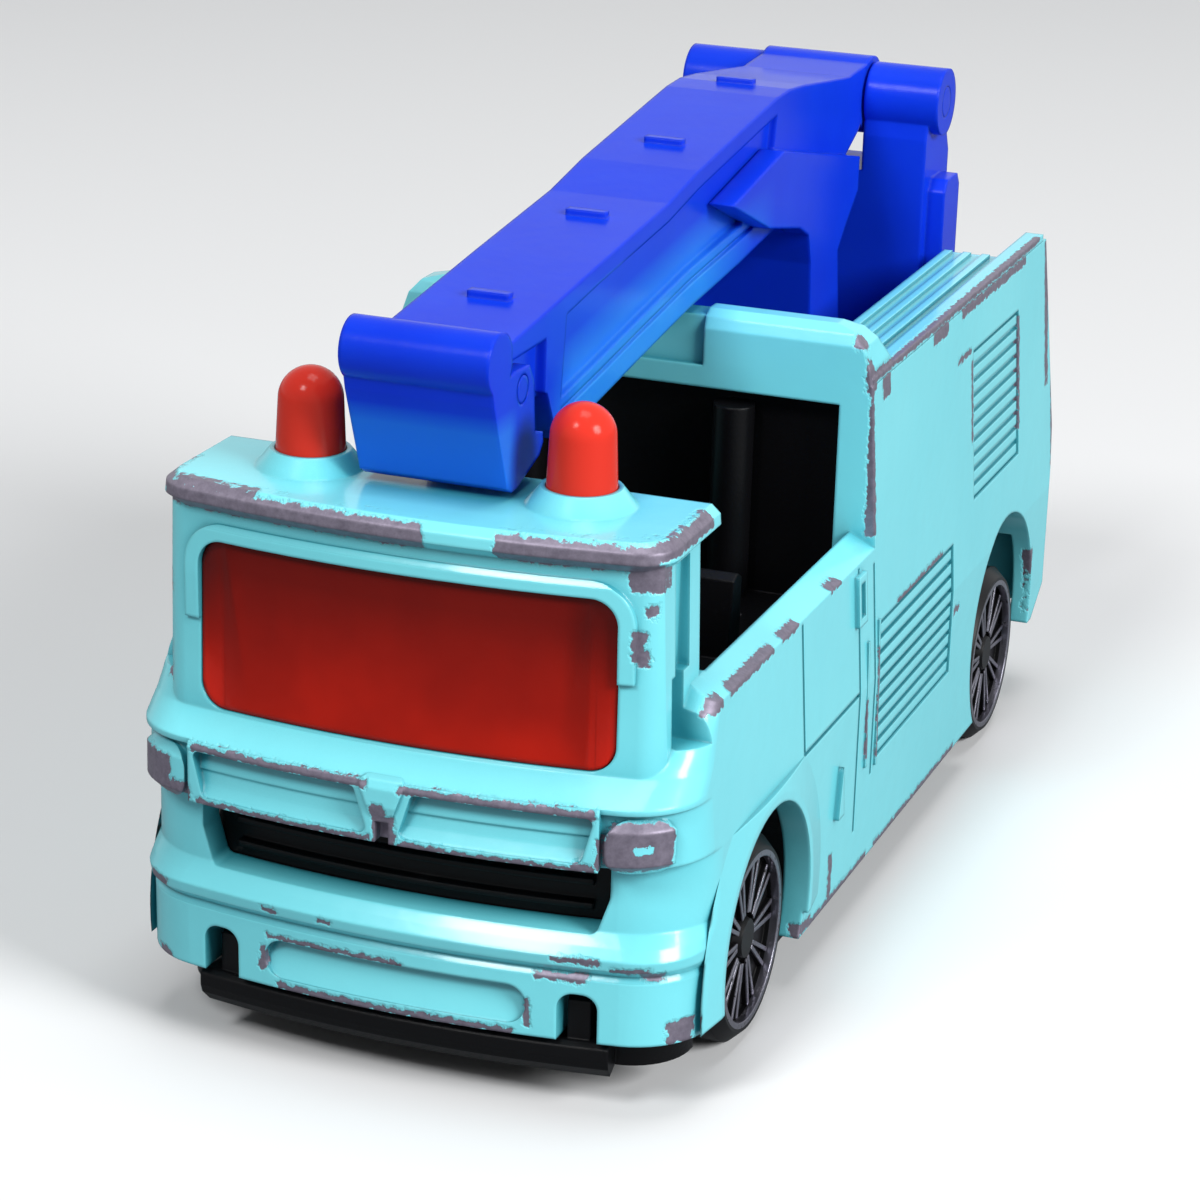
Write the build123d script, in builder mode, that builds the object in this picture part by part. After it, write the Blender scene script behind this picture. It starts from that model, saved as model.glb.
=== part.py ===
"""Pocket-size die-cast aerial platform truck with a folding boom.

Frame: millimetres, +Z up, the nose points along -Y, +X is the vehicle's left side.
The origin is on the ground under the middle of the vehicle.
"""
from build123d import *
import os
from math import asin, degrees, sin, cos

os.makedirs("parts", exist_ok=True)

# ---------------------------------------------------------------- driving dimensions
body_length = 80.2          # brow over the grille to tail
body_width = 32.8           # over the flanks
wheelbase = 51.4
front_overhang = 15.9       # brow to front axle
wheel_radius = 5.95
wheel_width = 4.1
wheel_outer_x = 16.0        # outer face of the wheels from the centre line
axle_radius = 0.8

wall = 1.3                  # casting thickness
skirt_z = 3.2               # lower edge of the flanks
valance_z = 4.6             # lower edge of the nose
crease_z = 14.8             # the flanks are upright below this and lean in above it
sill_z = 23.7               # inner edge of the open cab's sill
sill_drop = 0.8             # the sill falls towards the outside by this
sill_inner_x = 14.2
roof_z = 32.75              # roof strip and locker tops
top_half_width = 15.2       # locker tops, from the centre line
bow_radius = 70.0           # the nose is bowed in plan about a far upright axis
tail_corner_radius = 1.6
nose_rear_y = -20.0         # the shaped nose ends here and the straight flanks begin
face_depth = 1.95           # screen and grille plane behind the brow
inner_depth = 3.9           # inside of the nose wall behind the brow

greenhouse_half_width = 14.4
greenhouse_lean = 0.45
pillar_width = 1.6
pillar_rear_y = -30.8       # rear edge of the pillars
roof_rear_y = -29.2         # rear edge of the roof strip
pillar_corner_radius = 1.7
roof_thickness = 1.8
windscreen_width = 23.9
windscreen_z = (19.95, 29.6)
windscreen_corner_radius = 1.5
screen_depth = 2.05         # the screen lies a little behind its frame
panel_z = (15.1, 18.6)      # fluted panels under the brow
panel_end_x = 11.85
grille_z = (10.8, 15.0)
grille_half_width = (11.2, 11.9)    # lower and upper edge

locker_front_y = -3.75
locker_inner_x = 9.7        # wall of the narrow bay between the lockers
locker_end_y = 30.9         # the bay widens behind this
rear_bay_half_width = 13.7
bay_front_y = 5.1
frame_half_width = 13.2     # opening of the frame behind the cab
bar_bottom_z = 31.4
bar_top_z = 36.1
saddle_half_width = 4.6     # the frame is set back here, under the boom
bed_z = 14.0                # upper face of the bed floor
bed_thickness = 1.5
tail_top_z = 16.8
tail_rake = 2.8             # the tail leans forward by this at the top

beacon_x = 7.8
beacon_y = -32.2
beacon_radius = 1.9
beacon_top_z = 38.3
collar_height = 1.0
collar_radius = (3.1, 2.2)  # foot and top of the sloping collar

base_z = (2.2, 3.4)
base_half_width = 14.8
base_rear_y = 35.3
base_corner_radius = 3.6
post_places = ((-14.9, 11.5), (9.1, 12.7))      # y and top of the posts under the body
post_radius = 2.2
neck_radius = 1.2
head_radius = 2.0
head_recess = 0.65          # depth of the counterbores that hold the peened heads

turntable_y = 21.1
turntable_radius = 8.6
turntable_z = (14.3, 16.3)
boss_radius = 3.0
rivet_head_radius = 4.6
pivot_low = (33.1, 18.6)    # y, z of the hinge between the turntable and the lower arm
knuckle = (32.2, 42.6)      # y, z of the hinge between the lower arm and the upper boom
knuckle_radius = 2.25
tongue_radius = 2.6
arm_y = (30.2, 36.0)
arm_half_width = 8.3
arm_web_z = (22.2, 37.8)    # the web between the arm's two forks
boom_half_width = 3.7
pin_radius = 1.0
bucket_pivot = (-31.8, 38.4)
bucket_pin_radius = 0.75
bucket_half_width = 4.2
bucket_wall = 0.9
bead = (-35.0, 40.5)        # y, z of the rolled bead along the bucket's front edge
bead_radius = 1.7

running_gap = 0.05          # radial clearance of a shaft in its bore
side_gap = 0.2              # clearance between cheeks that turn on each other
seat_gap = 0.3              # clearance between parts that rest near each other
press = 0.02                # interference of the wheels on their axles
fit_gap = 0.05              # clearance between fixed mouldings

# ---------------------------------------------------------------- derived places
nose = -body_length / 2
tail = body_length / 2
front_axle_y = nose + front_overhang
rear_axle_y = front_axle_y + wheelbase
half_width = body_width / 2
bow_axis_y = nose + bow_radius
front_arch = (front_axle_y, wheel_radius + 0.45, wheel_radius + 1.65)   # y, z, radius
rear_arch = (rear_axle_y, wheel_radius + 2.05, wheel_radius + 1.95)
wheel_inner_x = wheel_outer_x - wheel_width
bed_bottom_z = bed_z - bed_thickness
cab_half_width = greenhouse_half_width - pillar_width
rail_end_y = tail - tail_rake - 0.4


# ---------------------------------------------------------------- shared shapes
def flank_x(z):
    """Half width of the body at height z."""
    lean = (half_width - top_half_width) / (roof_z - crease_z)
    return half_width - lean * max(0.0, z - crease_z)


def side_block(outline, x_from, x_to):
    """A slab with a (y, z) outline between two distances from the centre line."""
    with BuildPart() as block:
        with BuildSketch(Plane.YZ.offset(x_from)):
            with BuildLine():
                Polyline(*outline, close=True)
            make_face()
        extrude(amount=x_to - x_from)
    return block.part


def front_block(outline, y_from, y_to, rounding=0.0):
    """A bar with an (x, z) outline between two places along the vehicle."""
    with BuildPart() as block:
        with BuildSketch(Plane.XZ.offset(-y_to)) as section:
            with BuildLine():
                Polyline(*outline, close=True)
            make_face()
            if rounding:
                fillet(section.vertices(), rounding)
        extrude(amount=y_to - y_from)
    return block.part


def cross_rod(y, z, radius, x_from, x_to):
    """A round bar across the vehicle."""
    with BuildPart() as rod:
        with BuildSketch(Plane.YZ.offset(x_from)):
            with Locations((y, z)):
                Circle(radius)
        extrude(amount=x_to - x_from)
    return rod.part


def box(x, y, z):
    """A block given by its (low, high) limits along each axis."""
    with BuildPart() as block:
        with BuildSketch(Plane.XY.offset(z[0])):
            with Locations(((x[0] + x[1]) / 2, (y[0] + y[1]) / 2)):
                Rectangle(x[1] - x[0], y[1] - y[0])
        extrude(amount=z[1] - z[0])
    return block.part


def plan_section(z, half_x, depth, y_rear, corner=0.0):
    """Plan outline at height z: straight sides and a bowed front `depth` behind the brow."""
    y_front = nose - 5
    with BuildSketch(Plane.XY.offset(z)) as plan:
        with Locations((0, (y_front + y_rear) / 2)):
            Rectangle(2 * half_x, y_rear - y_front)
        with Locations((0, bow_axis_y)):
            Circle(bow_radius - depth, mode=Mode.INTERSECT)
        if corner:
            fillet(plan.vertices().group_by(Axis.Y)[0], corner)
    return plan.sketch


def plan_block(half_x, depth, y_rear, z, corner=0.0):
    """An upright block on one plan outline."""
    with BuildPart() as block:
        add(plan_section(z[0], half_x, depth, y_rear, corner))
        extrude(amount=z[1] - z[0])
    return block.part


def stacked(sections):
    """A solid drawn through plan outlines at rising heights."""
    with BuildPart() as solid:
        loft(sections, ruled=True)
    return solid.part


def bowed_block(outline, x_from, x_to):
    """A bar along the bowed nose with a (depth, z) outline."""
    start = asin(x_from / bow_radius)
    turn = asin(x_to / bow_radius) - start
    plane = Plane(
        origin=(0, bow_axis_y, 0),
        x_dir=(sin(start), -cos(start), 0),
        z_dir=(-cos(start), -sin(start), 0),
    )
    with BuildPart() as block:
        with BuildSketch(plane):
            with BuildLine():
                Polyline(*[(bow_radius - d, z) for d, z in outline], close=True)
            make_face()
        revolve(axis=Axis((0, bow_axis_y, 0), (0, 0, 1)), revolution_arc=degrees(turn))
    return block.part


def flank_bands(y_from, y_to, bands, depth, proud=0.0):
    """Bands along both flanks between heights, from `depth` inside to `proud` outside."""
    with BuildPart() as block:
        with BuildSketch(Plane.XZ.offset(-y_to)):
            for low, high in bands:
                with BuildLine():
                    Polyline(
                        (flank_x(low) - depth, low),
                        (flank_x(high) - depth, high),
                        (flank_x(high) + proud, high),
                        (flank_x(low) + proud, low),
                        close=True,
                    )
                make_face()
            mirror(about=Plane.YZ)
        extrude(amount=y_to - y_from)
    return block.part


def both_sides(part):
    """The part together with its mirror image on the other side."""
    return part + part.mirror(Plane.YZ)


# ---------------------------------------------------------------- body shell
nose_levels = [             # height, depth behind the brow, radius of the corner in plan
    (skirt_z, 1.6, 4.6), (8.3, 1.45, 4.6), (8.6, 1.7, 4.6), (9.1, 1.15, 4.3), (9.7, 1.0, 4.2),
    (10.3, 1.4, 4.5), (11.0, face_depth, 5.0), (crease_z, face_depth, 5.0),
    (panel_z[0], 0.9, 4.6), (18.1, 0.8, 4.6), (18.3, 0.35, 4.3), (panel_z[1], 0.3, 4.3),
    (19.8, face_depth, 3.6), (22.5, 5.0, 1.4), (24.0, 6.6, 1.2),
]
roof_levels = [             # height, depth behind the brow, half width
    (31.2, 1.8, 14.1), (31.7, 1.2, 14.55), (32.3, 1.25, 14.5), (roof_z, 1.75, 14.0),
]


def shaped_nose():
    """The front of the body: bumper, grille face, brow and sloping shoulders."""
    return stacked([
        plan_section(z, flank_x(z), depth, nose_rear_y, corner) for z, depth, corner in nose_levels
    ])


def straight_flanks():
    """The body behind the nose: upright below the crease and leaning in above it."""
    right = [(half_width, skirt_z), (half_width, crease_z), (flank_x(roof_z), roof_z)]
    left = [(-x, z) for x, z in reversed(right)]
    with BuildPart() as corners:
        with BuildSketch(Plane.XY) as plan:
            with Locations((0, (nose_rear_y + tail) / 2)):
                Rectangle(body_width, tail - nose_rear_y)
            fillet(plan.vertices().group_by(Axis.Y)[-1], tail_corner_radius)
        extrude(amount=roof_z + 1)
    return front_block(right + left, nose_rear_y, tail) & corners.part


def greenhouse():
    """The front of the cab above the brow, leaning in a little towards the roof."""
    foot_z = panel_z[1] - 1
    top_z = roof_z - 0.8
    top = greenhouse_half_width - greenhouse_lean
    lean = front_block(
        [(greenhouse_half_width, foot_z), (top, top_z), (-top, top_z),
         (-greenhouse_half_width, foot_z)],
        nose, pillar_rear_y,
    )
    return lean & plan_block(
        greenhouse_half_width, face_depth, pillar_rear_y, (foot_z, top_z), pillar_corner_radius
    )


def roof_strip():
    """The roof with its rounded lip, which overhangs the screen and the pillars."""
    return stacked([
        plan_section(z, half_x, depth, roof_rear_y, 2.2) for z, depth, half_x in roof_levels
    ])


def screen_outline(grow, depth_from, depth_to):
    """The windscreen's outline, grown by a margin, as a block through the nose wall."""
    low, high = windscreen_z
    with BuildPart() as block:
        with BuildSketch(Plane.XZ.offset(-(nose + depth_to))):
            with Locations((0, (low + high) / 2)):
                RectangleRounded(
                    windscreen_width + 2 * grow, high - low + 2 * grow,
                    windscreen_corner_radius + grow,
                )
        extrude(amount=depth_to - depth_from)
    return block.part


def screen_frame():
    """The soft bead round the upper part of the windscreen."""
    bead_band = bowed_block(
        [(1.7, 25.0), (1.6, 27.5), (1.6, 30.2), (1.95, 30.7), (3.0, 30.7), (3.0, 25.0)], -13.2, 13.2
    )
    return bead_band & screen_outline(0.9, 0, 5)


def grille_opening():
    """The wide slot under the panels, narrower at its lower edge."""
    low, high = grille_z
    narrow, wide = grille_half_width
    return front_block(
        [(-wide, high), (-wide, 12.9), (-narrow, low), (narrow, low), (wide, 12.9), (wide, high)],
        nose - 1, nose + 6.5, 0.5,
    )


def nose_panels():
    """The proud band under the brow, before its flutes are cut."""
    low, high = panel_z
    return bowed_block(
        [(0.1, low), (0.05, high - 0.5), (0.0, high - 0.35), (0.1, high), (2.5, high), (2.5, low)],
        -panel_end_x, panel_end_x,
    )


def panel_flutes():
    """Two hollow flutes with a soft ridge between them in each panel."""
    profile = bowed_block(
        [(-1, 18.1), (0.85, 18.1), (0.95, 17.8), (0.62, 16.95), (0.75, 16.8), (0.6, 16.2),
         (0.2, 15.5), (-1, 15.5)],
        0.6, 11.8,
    )
    mask = front_block(
        [(1.65, 18.1), (0.85, 15.5), (10.9, 15.5), (11.6, 18.1)], nose - 1, nose + 4, 0.35
    )
    return both_sides(profile & mask)


def centre_notch():
    """The small slot under the centre boss."""
    return box((-0.4, 0.4), (nose - 1, nose + 0.9), (panel_z[0] - 0.5, 16.3))


def nose_additions():
    """The centre boss and the lens-shaped headlamp pods at the corners."""
    boss = bowed_block(
        [(0.9, 16.1), (0.1, 16.4), (-0.12, 17.2), (-0.12, 18.2), (0.1, 18.7), (0.9, 18.9)], -1.6, 1.6
    )
    boss = boss & front_block(
        [(-1.45, 18.8), (-0.5, 16.2), (0.5, 16.2), (1.45, 18.8)], nose - 1, nose + 3, 0.4
    )
    pod = stacked([
        plan_section(z, half_width - inset, depth, nose + 8, corner)
        for z, depth, inset, corner in (
            (14.9, 0.7, 0.75, 4.2), (15.5, 0.15, 0.4, 4.2), (17.4, 0.15, 0.4, 4.2), (18.0, 0.6, 0.75, 4.2)
        )
    ])
    lens = front_block(
        [(12.1, 14.9), (16.0, 14.9), (16.0, 18.0), (12.1, 18.0)], nose - 1, nose + 3.2, 1.2
    )
    return boss + both_sides(pod & lens)


def wheel_arches():
    """Round openings in the outer walls and the wheel space behind them."""
    cuts = None
    for y, z, radius in (front_arch, rear_arch):
        cut = cross_rod(y, z, radius, locker_inner_x + wall, half_width + 3)
        cuts = cut if cuts is None else cuts + cut
    return both_sides(cuts)


def arch_flare():
    """The softly flared fender over the front wheel."""
    y, z, radius = front_arch
    with BuildPart() as flare:
        with Locations(Location((half_width - 0.01, y, z), (0, 90, 0))):
            Cone(radius + 3.0, radius + 0.5, 0.35, align=(Align.CENTER, Align.CENTER, Align.MIN))
    upper_half = box((0, 20), (y - 12, y + 12), (skirt_z + 1.5, crease_z))
    return both_sides(flare.part & upper_half)


def inner_spaces():
    """The hollow of the casting: cab, lockers, bay, wheel space and the frame opening."""
    cab = box(
        (-sill_inner_x, sill_inner_x), (pillar_rear_y + 0.8, locker_front_y),
        (valance_z - 3, sill_z + 1),
    )
    cab += plan_block(
        cab_half_width, inner_depth, pillar_rear_y + 3, (valance_z - 3, roof_z - roof_thickness)
    )
    low = plan_block(half_width - wall, inner_depth, 37.1, (-2, bed_bottom_z), 3.8)
    passage = box(
        (-frame_half_width, frame_half_width), (locker_front_y - 1, bay_front_y - wall),
        (0, bar_bottom_z),
    )
    locker = box(
        (locker_inner_x + wall, rear_bay_half_width),
        (locker_front_y + wall, locker_end_y - wall), (0, roof_z - wall),
    )
    bay = box((-locker_inner_x, locker_inner_x), (bay_front_y, locker_end_y), (bed_z, roof_z + 5))
    rear_bay = box(
        (-rear_bay_half_width, rear_bay_half_width), (locker_end_y, tail - 3.4), (bed_z, roof_z + 3)
    )
    over_tail = box(
        (-rear_bay_half_width, rear_bay_half_width), (tail - 4.0, tail + 3),
        (tail_top_z, roof_z + 3),
    )
    return cab + low + passage + both_sides(locker) + bay + rear_bay + over_tail


def outer_cuts():
    """What is cut away around the open cab, the tail, the valance and the turntable."""
    far = half_width + 3
    ledge_drop = sill_drop * (far - sill_inner_x) / (flank_x(sill_z) - sill_inner_x)
    open_cab = front_block(
        [(far, sill_z - ledge_drop), (sill_inner_x, sill_z), (-sill_inner_x, sill_z),
         (-far, sill_z - ledge_drop), (-far, 40), (far, 40)],
        nose - 5, locker_front_y,
    )
    underside_y = tail - 4.3
    tail_line = side_block(
        [(tail - tail_rake, roof_z + 2), (tail, 14.0), (tail, 8.6), (underside_y, 5.8),
         (underside_y, 0), (tail + 5, 0), (tail + 5, roof_z + 2)],
        -20, 20,
    )
    under_nose = box((-20, 20), (nose - 3, front_axle_y), (0, valance_z))
    under_tail = box((-20, 20), (rear_axle_y, tail - 4), (0, 5.8))
    return open_cab, tail_line + under_nose + under_tail


def valance_details():
    """Two round-topped slots and the stadium recess under the bumper."""
    slot = front_block(
        [(9.35, valance_z - 2), (9.35, 7.4), (11.55, 7.4), (11.55, valance_z - 2)],
        nose - 1, nose + 6.5, 0.9,
    )
    floor = bowed_block(
        [(-1, 7.5), (2.1, 7.5), (2.15, 7.1), (1.6, 5.2), (-1, 5.2)], -7.8, 7.8
    )
    with BuildPart() as stadium:
        with BuildSketch(Plane.XZ.offset(-(nose + 4))):
            with Locations((0, 6.35)):
                RectangleRounded(15.3, 2.3, 1.14)
        extrude(amount=5)
    return both_sides(slot) + (floor & stadium.part)


def seam_cuts():
    """Door seams, shutter frames and the grooves of the pillars."""
    groove = 0.25
    seams = flank_bands(-18.0, -17.7, [(14.8, 22.6)], groove, 1)
    seams += flank_bands(-17.8, -7.1, [(14.7, 14.95)], groove, 1)
    seams += flank_bands(-7.2, -6.9, [(6.0, 22.6)], groove, 1)
    seams += flank_bands(-4.1, -3.8, [(8.6, 22.0)], groove, 1)
    seams += flank_bands(-2.9, 13.6, [(9.3, 18.0)], 0.35, 1)
    seams += flank_bands(18.6, 30.1, [(19.5, 29.5)], 0.35, 1)
    side_x = greenhouse_half_width - greenhouse_lean - 0.45
    pillar = box((side_x, 20), (-34.6, -32.4), (24.8, 31.0))
    pillar += box((side_x, 20), (-35.1, -33.3), (21.0, 24.9))
    return seams + both_sides(pillar)


def flank_additions():
    """Shutter slats, the framed strip beside them, the handle and the step."""
    lower = [(9.45 + 0.95 * i, 9.45 + 0.95 * i + 0.62) for i in range(9)]
    upper = [(19.65 + 0.99 * i, 19.65 + 0.99 * i + 0.64) for i in range(10)]
    raised = flank_bands(-2.8, 13.4, lower, 0.5, -0.1)
    raised += flank_bands(18.8, 29.9, upper, 0.5, -0.1)
    raised += flank_bands(-3.4, -3.1, [(9.0, 18.3)], 0.7, 0.15)
    raised += flank_bands(-5.6, -5.3, [(9.6, 17.6)], 0.7, 0.15)
    handle = flank_bands(-7.9, -6.3, [(19.2, 22.3)], 0.3, 0.3)
    handle -= flank_bands(-7.5, -6.7, [(19.7, 21.8)], 0.01, 1)
    step = side_block(
        [(-11.4, 8.4), (-10.3, 8.4), (-10.85, 11.6)], half_width - 0.3, half_width + 0.35
    )
    return raised + handle + both_sides(step)


def locker_tops():
    """Raised outer rail and three ribs along each locker."""
    rail = box(
        (rear_bay_half_width + 0.2, top_half_width - 0.05), (locker_front_y + 0.3, rail_end_y),
        (roof_z - 0.5, roof_z + 0.45),
    )
    for x in (10.0, 11.3, 12.6):
        rail += box(
            (x, x + 0.55), (bay_front_y - 2, locker_end_y - 0.6), (roof_z - 0.5, roof_z + 0.25)
        )
    return both_sides(rail)


def cab_frame():
    """The upright frame behind the cab, set back under the boom and sloping down behind."""
    front = locker_front_y
    side_profile = side_block(
        [(front, bar_bottom_z), (front, 35.0), (front + 0.3, 35.7), (front + 0.9, bar_top_z),
         (front + 2.0, bar_top_z), (front + 4.9, roof_z), (front + 4.9, bar_bottom_z)],
        -top_half_width, top_half_width,
    )
    across = [(12.6, bar_top_z), (13.8, 35.8), (14.5, 35.0), (14.95, 33.7), (top_half_width, 32.2),
              (top_half_width, bar_bottom_z)]
    outline = [(-x, z) for x, z in across[::-1]] + across
    saddle = box(
        (-saddle_half_width, saddle_half_width), (front - 1, front + 0.35),
        (bar_bottom_z - 1, bar_top_z + 1),
    )
    saddle += box(
        (-saddle_half_width, saddle_half_width), (front - 1, front + 6),
        (bar_top_z - 0.35, bar_top_z + 1),
    )
    return (side_profile & front_block(outline, front - 1, front + 6)) - saddle


def body_posts():
    """A hidden cross web, the two posts that hold the base plate and the rear axle's keepers."""
    web = box((-15.2, 15.2), (post_places[0][0] - 1.5, post_places[0][0] + 1.5), (11.0, bed_bottom_z))
    posts = None
    for y, top in post_places:
        low = base_z[1] + seat_gap
        head_z = base_z[0] + 0.1
        seat_z = base_z[0] + head_recess - fit_gap
        with BuildPart() as post:
            with BuildSketch(Plane.XY.offset(low)):
                with Locations((0, y)):
                    RegularPolygon(post_radius, 8)
            extrude(amount=top - low)
            for radius, z_to in ((neck_radius, low), (head_radius, seat_z)):
                with BuildSketch(Plane.XY.offset(head_z)):
                    with Locations((0, y)):
                        Circle(radius)
                extrude(amount=z_to - head_z)
        posts = post.part if posts is None else posts + post.part
    keeper = box((9.2, 10.6), (rear_axle_y - 1.6, rear_axle_y + 1.6),
                 (wheel_radius + axle_radius + running_gap, bed_bottom_z + 0.2))
    return web + posts + both_sides(keeper)


def collars():
    """Sloping rings on the roof strip around the beacons."""
    foot, top = collar_radius
    with BuildPart() as ring:
        with Locations((beacon_x, beacon_y, roof_z - 0.1)):
            Cone(foot, top, collar_height + 0.1, align=(Align.CENTER, Align.CENTER, Align.MIN))
    return both_sides(ring.part & box((0, 20), (nose, roof_rear_y), (30, 40)))


open_cab_cut, silhouette_cut = outer_cuts()
with BuildPart() as body_shell:
    add(shaped_nose())
    add(straight_flanks())
    add(open_cab_cut, mode=Mode.SUBTRACT)
    add(greenhouse())
    add(roof_strip())
    add(screen_frame())
    add(nose_panels())
    add(nose_additions())
    add(arch_flare())
    add(silhouette_cut, mode=Mode.SUBTRACT)
    add(inner_spaces(), mode=Mode.SUBTRACT)
    add(cab_frame())
    add(wheel_arches(), mode=Mode.SUBTRACT)
    add(panel_flutes(), mode=Mode.SUBTRACT)
    add(centre_notch(), mode=Mode.SUBTRACT)
    add(screen_outline(0, -1, 6.5), mode=Mode.SUBTRACT)
    add(grille_opening(), mode=Mode.SUBTRACT)
    add(valance_details(), mode=Mode.SUBTRACT)
    add(seam_cuts(), mode=Mode.SUBTRACT)
    add(flank_additions())
    add(locker_tops())
    add(body_posts())
    add(collars())
    with Locations((beacon_x, beacon_y, roof_z), (-beacon_x, beacon_y, roof_z)):
        Cylinder(beacon_radius + fit_gap, 8, mode=Mode.SUBTRACT)
    with Locations((0, turntable_y, bed_z)):
        Cylinder(boss_radius + running_gap, 6, mode=Mode.SUBTRACT)
body_shell.part.label = "body_shell"
export_step(body_shell.part, "parts/body_shell.step")


# ---------------------------------------------------------------- base plate
def saddles():
    """Upright blocks with an open slot for each axle."""
    blocks = None
    for y in (front_axle_y, rear_axle_y):
        for x in (5.4, 7.6):
            saddle = box((x, x + 1.5), (y - 2.0, y + 2.0), (base_z[1] - 0.2, wheel_radius + 0.7))
            slot = cross_rod(y, wheel_radius, axle_radius + running_gap, 4, 12)
            slot += box(
                (4, 12),
                (y - axle_radius - running_gap, y + axle_radius + running_gap),
                (wheel_radius, wheel_radius + 3),
            )
            saddle = saddle - slot
            blocks = saddle if blocks is None else blocks + saddle
    return both_sides(blocks)


def base_lip():
    """The lip under the nose with the two tabs that stand in the valance slots."""
    lip = bowed_block(
        [(2.0, 2.9), (1.85, 3.4), (1.85, 4.1), (2.2, 4.35), (4.8, 4.35), (4.8, base_z[0]),
         (2.7, base_z[0])],
        -12.4, 12.4,
    )
    tab = bowed_block([(2.4, 4.0), (2.4, 6.6), (3.2, 6.9), (3.2, 4.0)], 10.0, 11.3)
    return lip + both_sides(tab)


with BuildPart() as base_plate:
    add(plan_block(base_half_width, inner_depth + 0.3, base_rear_y, base_z, base_corner_radius))
    for y in (front_axle_y, rear_axle_y):
        for side in (-1, 1):
            add(box((10.9, 20) if side > 0 else (-20, -10.9), (y - 6.9, y + 6.9), (0, 9)),
                mode=Mode.SUBTRACT)
    add(saddles())
    add(base_lip())
    with Locations(*[(0, y, base_z[0]) for y, top in post_places]):
        Cylinder(neck_radius + fit_gap, 6, mode=Mode.SUBTRACT)
        Cylinder(head_radius + side_gap, 2 * head_recess, mode=Mode.SUBTRACT)
    for y in (-6.9, -2.9, 1.1, 15.1, 19.1):
        add(box((-9.0, 9.0), (y - 0.5, y + 0.5), (base_z[0] - 0.1, base_z[0] + 0.35)),
            mode=Mode.SUBTRACT)
base_plate.part.label = "base_plate"
export_step(base_plate.part, "parts/base_plate.step")


# ---------------------------------------------------------------- cab interior
cab_floor_z = (14.3, 15.5)
cab_deck_z = 18.6
bulkhead_y = (-2.4, -1.0)


def seat(x):
    """One seat: a cushion and its back in one moulding."""
    return side_block(
        [(-18.3, cab_floor_z[1] - 0.3), (-18.3, 17.6), (-17.9, 18.0), (-12.7, 17.8),
         (-11.9, 22.4), (-11.2, 22.7), (-10.5, 22.3), (-10.5, cab_floor_z[1] - 0.3)],
        x - 3.2, x + 3.2,
    )


def grille_backing():
    """The ribbed plate behind the grille."""
    front = inner_depth + 0.1
    plate = bowed_block(
        [(front, 9.7), (front, 15.4), (front + 1.4, 15.4), (front + 1.4, 9.7)], -12.4, 12.4
    )
    for z in (11.5, 12.9):
        plate += bowed_block(
            [(front - 0.5, z), (front - 0.5, z + 0.3), (front + 0.3, z + 0.5), (front + 0.3, z - 0.2)],
            -11.0, 11.0,
        )
    return plate


with BuildPart() as cab_interior:
    wide = sill_inner_x - fit_gap
    between = frame_half_width - seat_gap
    add(box((-wide, wide), (pillar_rear_y + 1.1, locker_front_y - 0.2), cab_floor_z))
    add(plan_block(cab_half_width - 0.2, inner_depth + 1.2, pillar_rear_y + 2.0, cab_floor_z))
    add(box((-between, between), (-11.5, bulkhead_y[1]), (cab_floor_z[0], cab_deck_z)))
    add(box((-between, between), bulkhead_y, (cab_floor_z[0], bar_bottom_z - seat_gap)))
    for x in (-6.6, 6.6):
        add(seat(x))
        with Locations((x, bulkhead_y[0] - 1.1, (cab_deck_z + 30.4) / 2)):
            Cylinder(1.25, 30.4 - cab_deck_z + 0.4)
    add(grille_backing())
    add(both_sides(box(
        (9.2, 10.6), (front_axle_y - 1.6, front_axle_y + 1.6),
        (wheel_radius + axle_radius + running_gap, cab_floor_z[0] + 0.2),
    )))
cab_interior.part.label = "cab_interior"
export_step(cab_interior.part, "parts/cab_interior.step")


# ---------------------------------------------------------------- windscreen and beacons
def beacon():
    """A beacon: a round stem through the roof with a domed top."""
    low = roof_z - roof_thickness - 0.5
    dome_z = beacon_top_z - 1.7
    stages = [              # height, radius
        (dome_z, beacon_radius), (dome_z + 0.85, beacon_radius * 0.87),
        (dome_z + 1.4, beacon_radius * 0.58), (beacon_top_z, beacon_radius * 0.2),
    ]
    with BuildPart() as lamp:
        with Locations((beacon_x, beacon_y, low)):
            Cylinder(beacon_radius, dome_z - low, align=(Align.CENTER, Align.CENTER, Align.MIN))
        for (z_from, wide), (z_to, narrow) in zip(stages, stages[1:]):
            with Locations((beacon_x, beacon_y, z_from)):
                Cone(wide, narrow, z_to - z_from, align=(Align.CENTER, Align.CENTER, Align.MIN))
    return lamp.part


with BuildPart() as window_beacons:
    flange = inner_depth + 0.1
    flange_half_width = cab_half_width - seat_gap
    add(screen_outline(-fit_gap, 0, 7))
    add(bowed_block([(screen_depth, 17), (screen_depth, 31), (flange + 1, 31), (flange + 1, 17)],
                    -13.5, 13.5), mode=Mode.INTERSECT)
    add(bowed_block([(flange, 18.9), (flange, 30.4), (flange + 1, 30.4), (flange + 1, 18.9)],
                    -flange_half_width, flange_half_width))
    add(plan_block(flange_half_width, flange, roof_rear_y - 0.4,
                   (29.7, roof_z - roof_thickness - 0.1)))
    add(both_sides(beacon()))
window_beacons.part.label = "window_beacons"
export_step(window_beacons.part, "parts/window_beacons.step")


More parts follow.
